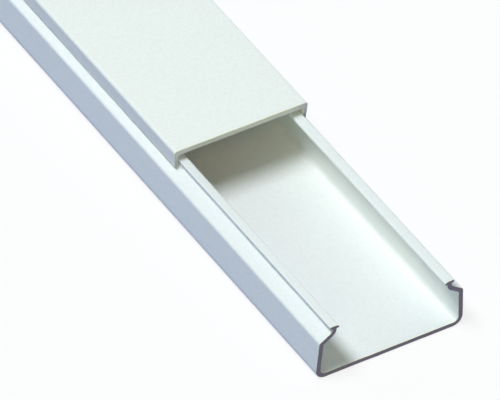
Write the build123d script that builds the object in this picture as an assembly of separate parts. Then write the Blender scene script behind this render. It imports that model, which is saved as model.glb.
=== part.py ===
"""Cord cover raceway: a PVC channel that is fixed to a wall, and a lid that snaps over its hooks.

Both pieces are straight extrusions of one section. X runs along the raceway towards its near end, Y runs
across it, and Z points away from the wall. The origin is the middle of the channel's flat back. Sizes are in
millimetres, and each section is drawn with Y to the right and Z up.
"""
import os
from math import cos, radians, sin, tan

from build123d import *

# Overall sizes
length = 400.0           # both pieces are cut to the same length
lid_set_back = 65.7      # how far the lid is slid back from the near end
base_width = 40.0        # outside of the channel, at its widest
total_height = 18.0      # back of the channel to the top of the lid
fit_gap = 0.2            # clearance between the lid's catch and the channel's hook and neck
foot_gap = 0.6           # clearance between the foot of the lid's leg and the channel's shoulder

# Channel
channel_wall = 1.2       # floor, side walls, shoulders and necks
corner_radius = 2.6      # outside, between floor and side wall
wall_lean = 3.0          # degrees, the side walls lean in towards the top
shoulder_slope = 34.0    # degrees, the ramp from side wall to neck
shoulder_radius = 0.9    # outside edge between side wall and shoulder
neck_inset = 3.8         # from the channel's widest point in to the outside of the neck
neck_rise = 1.25         # from the foot of the neck to the middle of the hook
neck_radius = 1.2        # hollow between shoulder and neck
hook_width = 2.5         # the T-shaped hook, from lip to lip
hook_thickness = 0.85
hook_tilt = 4.0          # degrees, the inner lip lies lower than the outer lip
lip_radius = 0.3         # both edges of the hook's outer lip
crown_radius = 0.65      # upper edge of the hook's inner lip
edge_radius = 0.15       # lower edge of the hook's inner lip

# Lid
lid_top = 1.4            # thickness of the top
leg_wall = 1.0           # thickness of the legs
headroom = 1.65          # from the top of the hooks to the underside of the lid
lid_corner_radius = 0.8  # outside, between top and leg
inner_radius = 0.4       # inside, between top and leg
leg_lean = 5.0           # degrees, the legs close in towards their feet
nose_height = 0.3        # blunt nose of the catch
nose_radius = 0.12
foot_radius = 0.3        # rounded foot of the leg

# Tangents, sines and cosines of the angles above
wall_tan = tan(radians(wall_lean))
wall_cos = cos(radians(wall_lean))
slope_tan = tan(radians(shoulder_slope))
slope_cos = cos(radians(shoulder_slope))
tilt_sin = sin(radians(hook_tilt))
tilt_cos = cos(radians(hook_tilt))
leg_tan = tan(radians(leg_lean))
leg_cos = cos(radians(leg_lean))

# The hook is a bar, centred on the neck. Its outer end is the lip that holds the lid: (lip_y, lip_z) is the
# lip's outermost point.
under_z = total_height - lid_top
neck_y = base_width / 2 - neck_inset
hook_y = neck_y - channel_wall / 2
lip_reach = hook_width / 2 - lip_radius
lip_rise = hook_thickness / 2 - lip_radius
hook_z = under_z - headroom - lip_radius - lip_reach * tilt_sin - lip_rise * tilt_cos
lip_y = hook_y + lip_reach * tilt_cos + lip_rise * tilt_sin + lip_radius
lip_z = hook_z + lip_reach * tilt_sin - lip_rise * tilt_cos

# The side wall runs up from the channel's corner, and ends where it meets the shoulder's ramp.
corner_y = base_width / 2 + corner_radius * (wall_tan + 1 / wall_cos - 1)
neck_foot_z = hook_z - neck_rise
wall_top_z = (neck_foot_z - (corner_y - neck_y) * slope_tan) / (1 - wall_tan * slope_tan)
wall_top_y = corner_y - wall_top_z * wall_tan

# The lid's leg passes the lip with clearance. The inside of the leg runs through (grip_y, lip_z), and its outside
# through (leg_y, lip_z), up to the lid's corner and down to the foot, which stands clear of the shoulder.
grip_y = lip_y + fit_gap
leg_y = grip_y + leg_wall / leg_cos
lid_corner_y = leg_y + (total_height - lip_z) * leg_tan
ramp_z = wall_top_z + (wall_top_y - leg_y) * slope_tan + foot_gap / slope_cos
foot_z = lip_z - (lip_z - ramp_z) / (1 + leg_tan * slope_tan)
foot_y = leg_y - (lip_z - foot_z) * leg_tan

# The catch reaches in below the lip, as far as the neck lets it.
catch_y = neck_y + fit_gap
catch_z = lip_z - lip_radius - fit_gap


def mirror_image(points):
    """Points of the +Y side, mirrored to the -Y side and in reverse order."""
    return [(-y, z) for y, z in reversed(points)]


def hook_section():
    """The hook's bar, with its outer lip towards +Y."""
    y, z = hook_width / 2, hook_thickness / 2
    radii = [lip_radius, lip_radius, crown_radius, edge_radius]
    return make_face(FilletPolyline((y, -z), (y, z), (-y, z), (-y, -z), radius=radii, close=True))


def inside_corner(before, corner, after):
    """A corner of the channel's outside, moved in by one wall thickness from both sides that meet there."""
    first = (Vector(corner) - Vector(before)).normalized()
    second = (Vector(after) - Vector(corner)).normalized()
    inward = (first + second).rotate(Axis.Z, -90) * (channel_wall / (1 + first.dot(second)))
    return corner[0] + inward.X, corner[1] + inward.Y


def channel_section():
    """Floor, side walls, shoulders and necks as one even wall, with a hook on each neck."""
    neck_top, neck_foot = (neck_y, hook_z), (neck_y, neck_foot_z)
    wall_top, corner = (wall_top_y, wall_top_z), (corner_y, 0)
    outside = [neck_top, neck_foot, wall_top, corner]
    inside = [
        inside_corner(wall_top, corner, (0, 0)),
        inside_corner(neck_foot, wall_top, corner),
        inside_corner(neck_top, neck_foot, wall_top),
        (neck_y - channel_wall, hook_z),
    ]
    outside_radii = [0, neck_radius, shoulder_radius, corner_radius]
    inside_radii = [corner_radius - channel_wall, 0, neck_radius + channel_wall, 0]
    points = outside + mirror_image(outside) + mirror_image(inside) + inside
    radii = outside_radii + outside_radii[::-1] + inside_radii[::-1] + inside_radii
    shell = make_face(FilletPolyline(*points, radius=radii, close=True))
    hook = Pos(hook_y, hook_z) * Rot(0, 0, hook_tilt) * hook_section()
    return shell + hook + mirror(hook, about=Plane.YZ)


def lid_section():
    """A flat top and two leaning legs, each with a wedge-shaped catch at its foot."""
    outline = [
        (grip_y + (under_z - lip_z) * leg_tan, under_z),
        (grip_y + (catch_z - lip_z) * leg_tan, catch_z),
        (catch_y, catch_z),
        (catch_y, catch_z - nose_height),
        (foot_y, foot_z),
        (lid_corner_y, total_height),
    ]
    radii = [inner_radius, 0, nose_radius, nose_radius, foot_radius, lid_corner_radius]
    line = FilletPolyline(*outline, *mirror_image(outline), radius=radii + radii[::-1], close=True)
    return make_face(line)


def extruded(section, near_end_x):
    """A section carried back along the raceway from its near end."""
    return Pos(near_end_x - length, 0, 0) * extrude(Plane.YZ * section, length)


pieces = {
    "base_channel": extruded(channel_section(), length / 2),
    "snap_lid": extruded(lid_section(), length / 2 - lid_set_back),
}

os.makedirs("parts", exist_ok=True)
for name, piece in pieces.items():
    export_step(piece, f"parts/{name}.step")
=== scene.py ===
# %% [markdown]
# # A cord cover raceway
# This raceway hides cables along a wall. It is two lengths of white PVC: a flat-backed channel, and a lid
# whose legs snap over the channel's two hooked rims and slide along them. Both are extrusions: molten
# plastic is pushed through a die, and the strip that comes out is sawn to length. The solid model already
# has the right sizes and places, so this lesson loads it as a fixed frame and makes both pieces again with
# rounder edges, sawn ends and a finish.

# %% Load the frame
import math

import bpy
import numpy as np
from mathutils import Matrix, Vector
from mathutils.geometry import delaunay_2d_cdt


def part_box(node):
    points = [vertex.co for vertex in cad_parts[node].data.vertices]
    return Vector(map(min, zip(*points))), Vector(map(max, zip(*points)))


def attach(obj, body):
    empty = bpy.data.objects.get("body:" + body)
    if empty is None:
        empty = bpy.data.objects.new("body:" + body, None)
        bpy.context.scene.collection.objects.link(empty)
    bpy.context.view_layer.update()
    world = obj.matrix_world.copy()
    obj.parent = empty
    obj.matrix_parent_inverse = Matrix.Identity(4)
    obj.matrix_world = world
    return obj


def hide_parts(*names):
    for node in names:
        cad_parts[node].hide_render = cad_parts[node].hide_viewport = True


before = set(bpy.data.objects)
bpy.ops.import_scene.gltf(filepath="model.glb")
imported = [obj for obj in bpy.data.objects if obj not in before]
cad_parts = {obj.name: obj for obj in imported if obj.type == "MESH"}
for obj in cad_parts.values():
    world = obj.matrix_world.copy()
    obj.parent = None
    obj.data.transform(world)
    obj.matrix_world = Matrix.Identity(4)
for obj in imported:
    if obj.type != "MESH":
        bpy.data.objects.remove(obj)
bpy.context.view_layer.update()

# %% [markdown]
# ## Sizes
# A section is easiest to think about in millimetres, while Blender's unit here is the metre. So the two
# sections are drawn in millimetres and scaled once, when they become meshes. What can be measured on the
# loaded pieces is measured. The rest, such as walls, slopes and radii, is written down under the maker's
# own names.

# %% Measure the pieces and name the other sizes
MM = 0.001
channel_low, channel_high = (np.array(corner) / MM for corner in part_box("base_channel"))
lid_low, lid_high = (np.array(corner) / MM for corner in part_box("snap_lid"))
length = channel_high[0] - channel_low[0]
base_width = channel_high[1] - channel_low[1]
total_height = lid_high[2]

fit_gap = 0.2            # clearance between the lid's catch and the channel's hook and neck
foot_gap = 0.6           # clearance between the foot of the lid's leg and the channel's shoulder

channel_wall = 1.2
corner_radius = 2.6      # outside, between floor and side wall
wall_lean = math.radians(3.0)
shoulder_slope = math.radians(34.0)
shoulder_radius = 0.9
neck_inset = 3.8         # from the widest point in to the outside of the neck
neck_rise = 1.25         # from the foot of the neck to the middle of the hook
neck_radius = 1.2
hook_width = 2.5
hook_thickness = 0.85
hook_tilt = math.radians(4.0)
lip_radius = 0.3         # both edges of the hook's outer lip
crown_radius = 0.65      # upper edge of the hook's inner lip
edge_radius = 0.15       # lower edge of the hook's inner lip

lid_top = 1.4
leg_wall = 1.0
headroom = 1.65          # from the top of the hooks to the underside of the lid
lid_corner_radius = 0.8
inner_radius = 0.4       # inside, between top and leg
leg_lean = math.radians(5.0)
nose_height = 0.3        # blunt nose of the catch
nose_radius = 0.12
foot_radius = 0.3

root_radius = 0.15       # the small hollows that a die leaves where walls meet
print(f"section {base_width:.1f} x {total_height:.1f} mm, {length:.0f} mm long")

# %% [markdown]
# ## An outline with rounded corners
# No edge of an extrusion is quite sharp, and the light that runs along a rounded edge is what makes plastic
# look like plastic. A Bevel modifier could round a finished mesh, but here every corner has a radius of its
# own. So the outline is worked out from a few corners: each one becomes an arc, and each straight side gets
# some holding points. The outer two lie close to the arcs, so that smooth shading bends only where the arc
# is and flat walls stay flat. The others let a sawn edge waver.

# %% Round the corners of a closed outline
ARC = np.linspace(0, 1, 9)              # steps round each corner
HOLD = np.linspace(0.03, 0.97, 16)      # points along each straight side


def unit(vectors):
    """Each vector divided by its own length."""
    return vectors / np.linalg.norm(vectors, axis=-1, keepdims=True)


def left_of(directions):
    """Each direction turned a quarter anticlockwise."""
    return np.stack([-directions[..., 1], directions[..., 0]], axis=-1)


def turned(vectors, angles):
    """Each vector turned anticlockwise by each of its own row of angles."""
    y, z = vectors[:, :1], vectors[:, 1:]
    cosine, sine = np.cos(angles), np.sin(angles)
    return np.stack([y * cosine - z * sine, y * sine + z * cosine], axis=-1)


def rounded(corners, radii):
    """Points of a closed outline that runs anticlockwise, and their inward normals. At a corner that turns
    by an angle a, an arc of radius r touches both sides r * tan(a / 2) from the corner. Its centre stands r
    to the inside of the turn, and its points swing round that centre by equal shares of a. The side that
    follows is divided in the shares HOLD. The inward normal lies to the left of the way the outline runs."""
    corners, radii = np.array(corners, float), np.array(radii, float)[:, None]
    arriving = unit(corners - np.roll(corners, 1, axis=0))
    leaving = np.roll(arriving, -1, axis=0)
    turn = np.arctan2((left_of(arriving) * leaving).sum(1), (arriving * leaving).sum(1))[:, None]
    start = corners - arriving * radii * np.tan(abs(turn) / 2)
    centre = start + left_of(arriving) * radii * np.sign(turn)
    arcs = centre[:, None] + turned(start - centre, turn * ARC)
    side = np.roll(arcs[:, 0], -1, axis=0) - arcs[:, -1]
    straights = arcs[:, -1, None] + side[:, None] * HOLD[:, None]
    points = np.concatenate([arcs, straights], axis=1)
    straight_inward = np.broadcast_to(left_of(leaving)[:, None], straights.shape)
    inward = np.concatenate([left_of(turned(arriving, turn * ARC)), straight_inward], axis=1)
    return points.reshape(-1, 2), inward.reshape(-1, 2)


def with_mirror_image(corners, radii):
    """Corners of the +Y half, followed by their mirror images in reverse order."""
    corners = np.array(corners, float)
    mirrored = corners[::-1] * [-1, 1]
    return np.concatenate([corners, mirrored]), np.concatenate([radii, radii[::-1]])


print("each corner and the side after it get", len(ARC) + len(HOLD), "points")

# %% [markdown]
# ## The channel's section
# From the flat back a side wall leans in a little, a shoulder slopes up to a short neck, and the neck
# carries a T-shaped hook: its outer lip holds the lid, its inner lip keeps the cables in. The inside line
# runs one wall thickness from the outside line. Where two sides meet, the inside corner lies along the sum
# of the two sides' normals, divided by one plus their dot product.

# %% Draw the channel's section
def inside_corner(before, corner, after, wall):
    """The corner moved one wall thickness to the left of both sides that meet there."""
    first, second = left_of(unit(np.subtract(corner, before))), left_of(unit(np.subtract(after, corner)))
    return np.array(corner) + wall * (first + second) / (1 + first @ second)


neck_y = base_width / 2 - neck_inset
hook_y = neck_y - channel_wall / 2
lip_reach, lip_rise = hook_width / 2 - lip_radius, hook_thickness / 2 - lip_radius
hook_top = total_height - lid_top - headroom
hook_z = hook_top - lip_radius - lip_reach * math.sin(hook_tilt) - lip_rise * math.cos(hook_tilt)
lip_y = hook_y + lip_reach * math.cos(hook_tilt) + lip_rise * math.sin(hook_tilt) + lip_radius
lip_z = hook_z + lip_reach * math.sin(hook_tilt) - lip_rise * math.cos(hook_tilt)

corner_y = base_width / 2 + corner_radius * (math.tan(wall_lean) + 1 / math.cos(wall_lean) - 1)
neck_foot_z = hook_z - neck_rise
rise = neck_foot_z - (corner_y - neck_y) * math.tan(shoulder_slope)
wall_top_z = rise / (1 - math.tan(wall_lean) * math.tan(shoulder_slope))
wall_top_y = corner_y - wall_top_z * math.tan(wall_lean)


def on_hook(along, across):
    """A point of the tilted hook, from its middle: along it towards the outer lip, and across it upwards."""
    turned_y = along * math.cos(hook_tilt) - across * math.sin(hook_tilt)
    turned_z = along * math.sin(hook_tilt) + across * math.cos(hook_tilt)
    return hook_y + turned_y, hook_z + turned_z


def below_hook(y):
    """The point of the hook's underside at a given y."""
    slant = (y - hook_y) * math.tan(hook_tilt)
    return y, hook_z + slant - hook_thickness / 2 / math.cos(hook_tilt)


bottom, wall_top, neck_foot = (corner_y, 0), (wall_top_y, wall_top_z), (neck_y, neck_foot_z)
half_hook, half_thickness = hook_width / 2, hook_thickness / 2
channel_corners = [
    (bottom, corner_radius),
    (wall_top, shoulder_radius),
    (neck_foot, neck_radius),
    (below_hook(neck_y), root_radius),
    (on_hook(half_hook, -half_thickness), lip_radius),
    (on_hook(half_hook, half_thickness), lip_radius),
    (on_hook(-half_hook, half_thickness), crown_radius),
    (on_hook(-half_hook, -half_thickness), edge_radius),
    (below_hook(neck_y - channel_wall), root_radius),
    (inside_corner(wall_top, neck_foot, (neck_y, hook_z), channel_wall), neck_radius + channel_wall),
    (inside_corner(bottom, wall_top, neck_foot, channel_wall), root_radius),
    (inside_corner((0, 0), bottom, wall_top, channel_wall), corner_radius - channel_wall),
]
channel_outline = rounded(*with_mirror_image(*zip(*channel_corners)))
channel_top = channel_outline[0][:, 1].max()
print(f"channel outline: {len(channel_outline[0])} points, top at {channel_top:.3f} mm")

# %% [markdown]
# ## The lid's section
# The lid is a flat top with two short legs that close in towards their feet. Each foot ends in a
# wedge-shaped catch. Pushed down, the wedge rides over the channel's lip, the leg springs out, and the catch
# snaps in below the lip. Leg and catch are placed from the lip they grip and from the clearance, as on the
# real fit.

# %% Draw the lid's section
grip_y = lip_y + fit_gap
leg_y = grip_y + leg_wall / math.cos(leg_lean)
lid_corner = (leg_y + (total_height - lip_z) * math.tan(leg_lean), total_height)
ramp_z = wall_top_z + (wall_top_y - leg_y) * math.tan(shoulder_slope) + foot_gap / math.cos(shoulder_slope)
foot_z = lip_z - (lip_z - ramp_z) / (1 + math.tan(leg_lean) * math.tan(shoulder_slope))
foot = (leg_y - (lip_z - foot_z) * math.tan(leg_lean), foot_z)
catch_y = neck_y + fit_gap
catch_z = lip_z - lip_radius - fit_gap
catch_root = (grip_y + (catch_z - lip_z) * math.tan(leg_lean), catch_z)
under_z = total_height - lid_top
lid_inside = (grip_y + (under_z - lip_z) * math.tan(leg_lean), under_z)

lid_corners = [
    (lid_inside, inner_radius),
    (catch_root, root_radius),
    ((catch_y, catch_z), nose_radius),
    ((catch_y, catch_z - nose_height), nose_radius),
    (foot, foot_radius),
    (lid_corner, lid_corner_radius),
]
lid_outline = rounded(*with_mirror_image(*zip(*lid_corners)))
lid_foot = lid_outline[0][:, 1].min()
print(f"lid outline: {len(lid_outline[0])} points, foot at {lid_foot:.3f} mm")

# %% [markdown]
# ## Carry a section along the raceway
# An extrusion is one section carried along a straight line, so a grid of points describes it: one row for
# each place along the raceway, one column for each point of the outline. Curve objects with a bevel profile
# could do the same, but a grid also lets the rows near a saw cut draw in a little, which rounds the cut
# edge, and lets each wall waver by up to two hundredths of a millimetre, as a strip does that cooled on a
# roller table.

# %% Make the grid of an extrusion
arris = 0.1              # rounding of a sawn edge
frayed = 4 * arris       # how far the mark of the saw reaches in from a cut
ragged = 0.15            # how far the saw strays from a flat cut
waver = 0.02             # how far a wall strays from flat
row_spacing = 6.0
end_gap = 1.0            # from a cut to the first of the evenly spaced rows

# How fast the sines run, in radians for each millimetre: on a cut, along a wall, and around the outline.
cut_rates = [0.6, 1.3, 2.7, 4.9, 8.2, 13.1, 19.7]
along_rates, around_rates = [0.021, 0.047, 0.089], [0.11, 0.23, 0.17]


def extrusion_grid(outline, back_x, near_x, seed):
    """Rows of the outline from back_x to near_x, and how sawn each row is. Each end is a quarter circle of
    radius arris: at an angle t the row stands arris * (1 - sin t) from the cut and is drawn in by
    arris * (1 - cos t). Four close rows follow it. On the cut each point strays inwards along X by ragged
    times half of one plus a mean of sines of its place on the outline. Between the cuts each wall strays
    along its normal by waver times a mean of products of two slow sines, one along X and one around."""
    quarter = np.linspace(math.pi / 2, 0, 5)
    behind = arris * np.array([2, 3, 4, 6])
    depth = np.concatenate([arris * (1 - np.sin(quarter)), behind])
    drawn_in = np.concatenate([arris * (1 - np.cos(quarter)), 0 * behind])
    middle = np.linspace(back_x + end_gap, near_x - end_gap, int((near_x - back_x) / row_spacing))
    along = np.concatenate([back_x + depth, middle, near_x - depth[::-1]])
    inset = np.concatenate([drawn_in, 0 * middle, drawn_in[::-1]])

    cut_phase, slow_phase = np.random.default_rng(seed).uniform(0, 2 * math.pi, (2, len(cut_rates)))
    points, inward = outline
    step = np.linalg.norm(np.roll(points, -1, axis=0) - points, axis=1)
    place = (np.cumsum(step) - step)[:, None]
    stray = ragged * (1 + np.sin(place * cut_rates + cut_phase).mean(1)) / 2
    share = np.clip(1 - np.minimum(along - back_x, near_x - along) / frayed, 0, 1)
    lean_in = np.where(along < (back_x + near_x) / 2, 1, -1) * share
    x = along[:, None] + lean_in[:, None] * stray

    slow_along = np.sin(along[:, None] * along_rates + slow_phase[:3])
    slow_around = np.sin(place * around_rates + slow_phase[3:6])
    wander = waver * (slow_along @ slow_around.T) / len(along_rates) * (1 - share[:, None])
    yz = points + (inset[:, None] + wander)[..., None] * inward
    return np.concatenate([x[..., None], yz], axis=2), share


print(f"rows about {row_spacing} mm apart, walls stray by {waver} mm and cuts by up to {ragged} mm")

# %% [markdown]
# ## From grid to mesh
# Four neighbours in the grid make a quad. The two ends are nearly flat, but their outline bends back and
# forth, and one face with so many corners is easily filled wrongly. So each end is filled with Delaunay
# triangles, which keep to the inside of the outline. They are shaded flat, and smooth shading stops there.
# The share of sawn surface goes along as an attribute, so that the finish can tell a cut from an extruded
# wall.

# %% Make the two pieces
INSIDE_ONLY = 1          # the kind of filling that leaves out the triangles outside the outline
SAME_POINT = 1e-6        # points closer than this count as one


def fill(outline):
    """Triangles between the points of a closed outline, all turned anticlockwise."""
    loop = list(range(len(outline)))
    filled = delaunay_2d_cdt(outline.tolist(), [], [loop], INSIDE_ONLY, SAME_POINT)
    triangles, originals = np.array(filled[2]), np.array(filled[3])[:, 0]
    return originals[triangles]


def extrusion(name, outline, back_x, near_x, seed):
    """A closed mesh object from extrusion_grid, with a point attribute "sawn" that is 1 on the cuts."""
    grid, share = extrusion_grid(outline, back_x, near_x, seed)
    rows, columns = grid.shape[:2]
    index = np.arange(rows * columns).reshape(rows, columns)
    beside = np.roll(index, -1, axis=1)
    quads = np.stack([index[:-1], beside[:-1], beside[1:], index[1:]], axis=2).reshape(-1, 4)
    back, near = index[0][fill(grid[0, :, 1:])][:, ::-1], index[-1][fill(grid[-1, :, 1:])]
    mesh = bpy.data.meshes.new(name)
    mesh.from_pydata(grid.reshape(-1, 3) * MM, [], quads.tolist() + back.tolist() + near.tolist())
    mesh.polygons.foreach_set("use_smooth", np.arange(len(mesh.polygons)) < len(quads))
    sawn = mesh.attributes.new("sawn", "FLOAT", "POINT")
    sawn.data.foreach_set("value", np.repeat(share, columns).astype(np.float32))
    piece = bpy.data.objects.new(name, mesh)
    bpy.context.scene.collection.objects.link(piece)
    print(name, "has", len(mesh.vertices), "points and", len(mesh.polygons), "faces")
    return piece


channel = extrusion("raceway_channel", channel_outline, channel_low[0], channel_high[0], seed=3)
lid = extrusion("raceway_lid", lid_outline, lid_low[0], lid_high[0], seed=8)

# %% [markdown]
# ## Shader maths
# A node tree is a formula, so it is written as one. The class below wraps one socket. Arithmetic on wrapped
# sockets adds Math nodes, and every other node comes from one method.

# %% Wrap a socket
class Wire:
    """One output socket of a node tree. Sums, differences and products of wires add Math nodes to that
    tree. A wire with no socket only adds nodes."""

    def __init__(self, tree, socket=None):
        self.tree, self.socket = tree, socket

    def node(self, kind, settings=None, sockets=None, output=0):
        """Adds a node to the tree: its settings first, then a value or a link for each named socket."""
        made = self.tree.nodes.new(kind)
        for name, value in (settings or {}).items():
            setattr(made, name, value)
        for name, value in (sockets or {}).items():
            if isinstance(value, Wire):
                self.tree.links.new(value.socket, made.inputs[name])
            else:
                made.inputs[name].default_value = value
        return Wire(self.tree, made.outputs[output] if made.outputs else None)

    def math(self, operation, first, second):
        """A Math node on two wires or numbers."""
        return self.node("ShaderNodeMath", {"operation": operation}, {0: first, 1: second})

    def __add__(self, other):
        return self.math("ADD", self, other)

    def __sub__(self, other):
        return self.math("SUBTRACT", self, other)

    def __rsub__(self, other):
        return self.math("SUBTRACT", other, self)

    def __mul__(self, other):
        return self.math("MULTIPLY", self, other)

    __radd__, __rmul__ = __add__, __mul__

    def between(self, low, high):
        """0 where this wire is at low, 1 where it is at high, and in line with both elsewhere."""
        return (self - low) * (1 / (high - low))

    def stretched(self, per_metre):
        """Coordinates multiplied by how often a pattern repeats in a metre of X, Y and Z."""
        return self.node("ShaderNodeVectorMath", {"operation": "MULTIPLY"}, {0: self, 1: per_metre})

    def noise(self, detail=2.0):
        """A smooth random value, about 0.5 on average, that changes once for each unit of coordinates."""
        return self.node("ShaderNodeTexNoise", {}, {"Vector": self, "Scale": 1.0, "Detail": detail})

    def mixed(self, first, second):
        """The first colour where this wire is 0 or less, and the second where it is 1 or more. A Mix node's
        colours are its inputs 6 and 7 and its output 2."""
        colour = {"data_type": "RGBA", "clamp_factor": True}
        return self.node("ShaderNodeMix", colour, {0: self, 6: first, 7: second}, output=2)


def new_finish(name):
    """An empty material, and a wire of the object coordinates in its node tree."""
    material = bpy.data.materials.new(name)
    material.use_nodes = True
    material.node_tree.nodes.clear()
    return material, Wire(material.node_tree).node("ShaderNodeTexCoord", output="Object")


# %% [markdown]
# ## White PVC
# Rigid PVC comes out of the die satin white, with a faint warm cast that shows where light bounces several
# times inside the channel. Fine lines from the die run along it, and a soft grain lies over them. A saw cut
# has none of that skin: it is rougher, with streaks along the blade's travel, and painted greyer, for its
# colours are painted light and shade. Where it meets the skin, a cream line in patches is a painted
# highlight of light that shines through the sawn edge. The channel's cut is painted dark all over as
# painted shade, with a touch of mauve that the blue light off the floor turns to a bluish grey. The lid's
# cut is painted pale along the top, as painted bounce light from the channel's floor below it, and painted
# darker down its legs as painted shade. So each finish is given one pair of colours for a cut as low as the
# lid's foot, and one for a cut as high as the lid's top.

# %% Make the PVC finish
# painted highlight: the cream rim stands for light shining through a sawn edge; dull_white is the grain's
# own colour
painted_rim_highlight, dull_white = (0.99, 0.97, 0.72, 1), (0.80, 0.81, 0.78, 1)
rim_highlight_strength = 3.0
pvc_ior = 1.53
satin, line_roughness, saw_roughness = 0.36, 0.12, 0.3              # the last two are added to the first
line_height, grain_height, streak_height = 0.002, 0.032, 0.016      # millimetres

# How often each pattern repeats in a metre of X, Y and Z.
cloud_rate, line_rate, grain_rate = (9, 70, 70), (1.5, 1600, 1600), (1400, 1400, 1400)
streak_rate, rim_highlight_rate = (500, 700, 9000), (400, 400, 400)


def pvc(name, white, cast, low_cut_painted, high_cut_painted):
    """Satin PVC: a broad cloud of the warmer cast over the white, lines along X and a grain that dulls the
    white. As the attribute sawn rises, the skin turns to a rim of painted highlight in patches, and close to
    1 the rim turns to the cut. The cut is streaked between the two colours of a pair. The low pair is
    painted shade, and it turns to the high one over the lid's leg, which for the lid is painted bounce
    light."""
    material, place = new_finish(name)
    cloud = place.stretched(cloud_rate).noise()
    lines = place.stretched(line_rate).noise(detail=3.0)
    grain = place.stretched(grain_rate).noise(detail=1.0)
    streaks = place.stretched(streak_rate).noise(detail=3.0)
    # patches in which the painted highlight along a cut's edge shows
    rim_highlight_patches = place.stretched(rim_highlight_rate).noise()
    sawn = place.node("ShaderNodeAttribute", {"attribute_name": "sawn"}, output="Fac")
    up = place.node("ShaderNodeSeparateXYZ", {}, {"Vector": place}, output="Z")

    clouded = cloud.between(1 / 12, 11 / 12).mixed(white, cast)
    skin = grain.between(0.4, 1.4).mixed(clouded, dull_white)
    # painted highlight: the skin turns to cream near each cut, in patches
    rim = (sawn * rim_highlight_patches * rim_highlight_strength).mixed(skin, painted_rim_highlight)
    streak = streaks.between(0.25, 0.75)
    # painted shade on the cut, turning up the lid's leg to the high pair, which on the lid is painted bounce
    # light
    painted_light_up_leg = up.between(foot_z * MM, under_z * MM)
    cut = painted_light_up_leg.mixed(streak.mixed(*low_cut_painted), streak.mixed(*high_cut_painted))
    colour = sawn.between(0.875, 1.0).mixed(rim, cut)
    roughness = satin + lines * line_roughness + sawn * saw_roughness
    height = (1 - sawn) * (lines * line_height + grain * grain_height) + sawn * streaks * streak_height
    normal = place.node("ShaderNodeBump", {}, {"Strength": 1.0, "Distance": MM, "Height": height})
    surface = place.node("ShaderNodeBsdfPrincipled", {}, {
        "Base Color": colour,
        "Roughness": roughness,
        "IOR": pvc_ior,
        "Normal": normal,
    })
    surface.node("ShaderNodeOutputMaterial", {}, {"Surface": surface})
    print(name, "has", len(material.node_tree.nodes), "nodes")
    return material


channel_white, channel_cast = (0.90, 0.915, 0.905, 1), (0.89, 0.905, 0.885, 1)
# cut colours: painted shade on the sawn ends, and on the lid's top cut painted bounce light from the
# channel's floor
channel_cut_painted_shade = (0.30, 0.22, 0.27, 1), (0.62, 0.51, 0.49, 1)
lid_white, lid_cast = (0.94, 0.945, 0.91, 1), (0.93, 0.935, 0.885, 1)
leg_cut_painted_shade = (0.34, 0.33, 0.34, 1), (0.66, 0.65, 0.63, 1)
top_cut_painted_light = (0.80, 0.77, 0.65, 1), (0.99, 0.97, 0.90, 1)
channel.data.materials.append(pvc("channel_finish", channel_white, channel_cast, channel_cut_painted_shade, channel_cut_painted_shade))
lid.data.materials.append(pvc("lid_finish", lid_white, lid_cast, leg_cut_painted_shade, top_cut_painted_light))

# %% [markdown]
# ## Put the pieces in place
# Each new piece stands for a solid of the loaded model, which is hidden, and rides on the same body. So when
# the lid slides, its new skin slides along.

# %% Hand the pieces over to the frame
for piece, node, body, slot in (
    (channel, "base_channel", "channel", "channel_pvc"),
    (lid, "snap_lid", "lid", "lid_pvc"),
):
    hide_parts(node)
    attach(piece, body)
    print(piece.name, "rides on", body, "in place of", node)

# %% [markdown]
# ## The floor
# The raceway lies on a plain white floor. A real one would throw so much light back up that the walls and
# the sawn ends would lose their shade. So this floor is white to the camera and to reflections, and a dark
# blue to the light that bounces off it, which gives the walls the colour of shade. A fifth of what the
# camera sees is still lit as any floor is, and that share keeps the shadow.

# %% Lay the floor
floor_size = 8.0
floor_drop = 0.05 * MM
glow_share = 0.8
pure_white, shade_blue = (1, 1, 1, 1), (0.064, 0.112, 0.40, 1)


def seen_directly(wire):
    """1 for rays from the camera, in reflections and through glass, and 0 for bounced light."""
    camera_ray = wire.node("ShaderNodeLightPath", output="Is Camera Ray")
    glossy_ray = wire.node("ShaderNodeLightPath", output="Is Glossy Ray")
    glass_ray = wire.node("ShaderNodeLightPath", output="Is Transmission Ray")
    return wire.math("MAXIMUM", wire.math("MAXIMUM", camera_ray, glossy_ray), glass_ray)


def floor_finish():
    """White with a faint shadow where it is seen, and blue where light bounces off it."""
    material, place = new_finish("floor_finish")
    lit = place.node("ShaderNodeBsdfDiffuse", {}, {"Color": pure_white})
    glow = place.node("ShaderNodeEmission", {}, {"Color": pure_white, "Strength": 1.0})
    white = place.node("ShaderNodeMixShader", {}, {0: glow_share, 1: lit, 2: glow})
    blue = place.node("ShaderNodeBsdfDiffuse", {}, {"Color": shade_blue})
    surface = place.node("ShaderNodeMixShader", {}, {0: seen_directly(place), 1: blue, 2: white})
    surface.node("ShaderNodeOutputMaterial", {}, {"Surface": surface})
    return material


edges = [-floor_size / 2, floor_size / 2]
floor_x, floor_y = np.meshgrid(edges, edges)
floor_points = np.stack([floor_x, floor_y, np.full((2, 2), -floor_drop)], axis=-1).reshape(-1, 3)
floor_mesh = bpy.data.meshes.new("floor")
floor_mesh.from_pydata(floor_points, [], [(0, 1, 3, 2)])
floor_mesh.materials.append(floor_finish())
floor = bpy.data.objects.new("floor", floor_mesh)
bpy.context.scene.collection.objects.link(floor)
print(floor.name, "is", floor_size, "m square")

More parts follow.
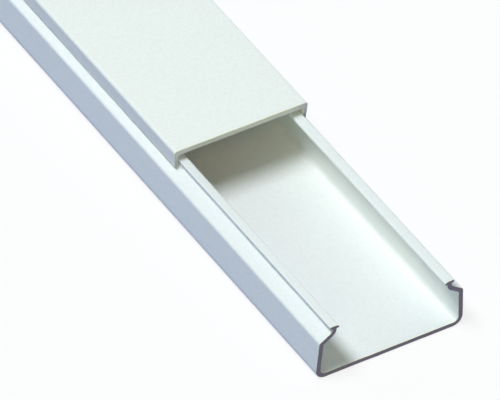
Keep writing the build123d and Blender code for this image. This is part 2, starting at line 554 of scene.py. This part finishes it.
# %% [markdown]
# ## Light
# One soft light hangs nearly overhead, a little to the left and behind. It is an oval, longer along the
# raceway than across it, and so the shadow of the lid has a softer edge than the shadow of a hook. Little
# light comes from the front, so the sawn ends stay dark: two weak lamps, one cool and one warm, reach in
# below the lid. A low lamp behind lights the right side. Only the first lamp shines on the plastic. The
# others are hidden from reflections, or the flat lid would glare in low views.

# %% Set the lamps
lamp_distance = 2.4
lit_point = Vector((0.05, 0, 0))


def lamp(name, towards, size, power, colour, shine=False):
    """An oval of light that stands off from the raceway in a given direction and faces it, with a shine on
    the plastic or none."""
    data = bpy.data.lights.new(name, "AREA")
    data.shape, data.size, data.size_y = "ELLIPSE", *size
    data.energy, data.color = power, colour
    made = bpy.data.objects.new(name, data)
    direction = Vector(towards).normalized()
    made.location = lit_point + direction * lamp_distance
    made.rotation_mode = "QUATERNION"
    made.rotation_quaternion = direction.to_track_quat("Z", "Y")
    made.visible_camera, made.visible_glossy = False, shine
    bpy.context.scene.collection.objects.link(made)
    print(name, "stands at", [round(value, 2) for value in made.location])


lamp("overhead", (-0.05, -0.40, 1), (1.2, 0.75), 47.2, (0.86, 0.93, 0.995), shine=True)
lamp("front_cool", (1, -1, 0.6), (1.0, 1.0), 7.4, (0.55, 0.83, 0.66))
lamp("front_warm", (1, -0.5, 1), (1.0, 1.0), 6.6, (1.0, 0.66, 0.22))
lamp("back_right", (-0.8, 1, 0.16), (1.2, 0.5), 26, (0.92, 0.97, 1.0))

# %% [markdown]
# ## The world
# The room beyond the floor is like the floor: white where it is seen, and dim in the light that it sheds,
# so that the lamps alone set the shadows.

# %% Set the world
dim_room = (0.07, 0.112, 0.12, 1)

world = bpy.data.worlds.new("studio")
world.use_nodes = True
world.node_tree.nodes.clear()
room = Wire(world.node_tree)
dim = room.node("ShaderNodeBackground", {}, {"Color": dim_room, "Strength": 1.0})
bright = room.node("ShaderNodeBackground", {}, {"Color": pure_white, "Strength": 1.0})
sky = room.node("ShaderNodeMixShader", {}, {0: seen_directly(room), 1: dim, 2: bright})
sky.node("ShaderNodeOutputWorld", {}, {"Surface": sky})
bpy.context.scene.world = world
bpy.context.scene.view_settings.view_transform = "Standard"
print(world.name, "sheds", dim_room[:3])

# %% [markdown]
# ## Camera
# The raceway runs away from the camera, which looks down on its near end from the left with a long lens. It
# is placed by the point it aims at, by three angles (how far round, how high, and how much it is tipped) and
# by a distance. The three directions of the camera's own axes then fill its matrix.

# %% Place the camera
aim = Vector((0.15398, -0.00983, 0.015))
azimuth, elevation, tip = (math.radians(angle) for angle in (55.78, 41.75, 3.43))
camera_distance = 2.311
lens, sensor_width = 720, 36            # millimetres

camera_data = bpy.data.cameras.new("camera")
camera_data.lens, camera_data.sensor_width = lens, sensor_width
camera = bpy.data.objects.new("camera", camera_data)
round_x, round_y = math.sin(azimuth) * math.cos(elevation), -math.cos(azimuth) * math.cos(elevation)
backwards = Vector((round_x, round_y, math.sin(elevation)))
level_right = Vector((0, 0, 1)).cross(backwards).normalized()
level_up = backwards.cross(level_right)
right = level_right * math.cos(tip) + level_up * math.sin(tip)
turn = Matrix((right, backwards.cross(right), backwards)).transposed().to_4x4()
camera.matrix_world = Matrix.Translation(aim + backwards * camera_distance) @ turn
bpy.context.scene.collection.objects.link(camera)
bpy.context.scene.camera = camera
print("camera at", [round(value, 3) for value in camera.location])
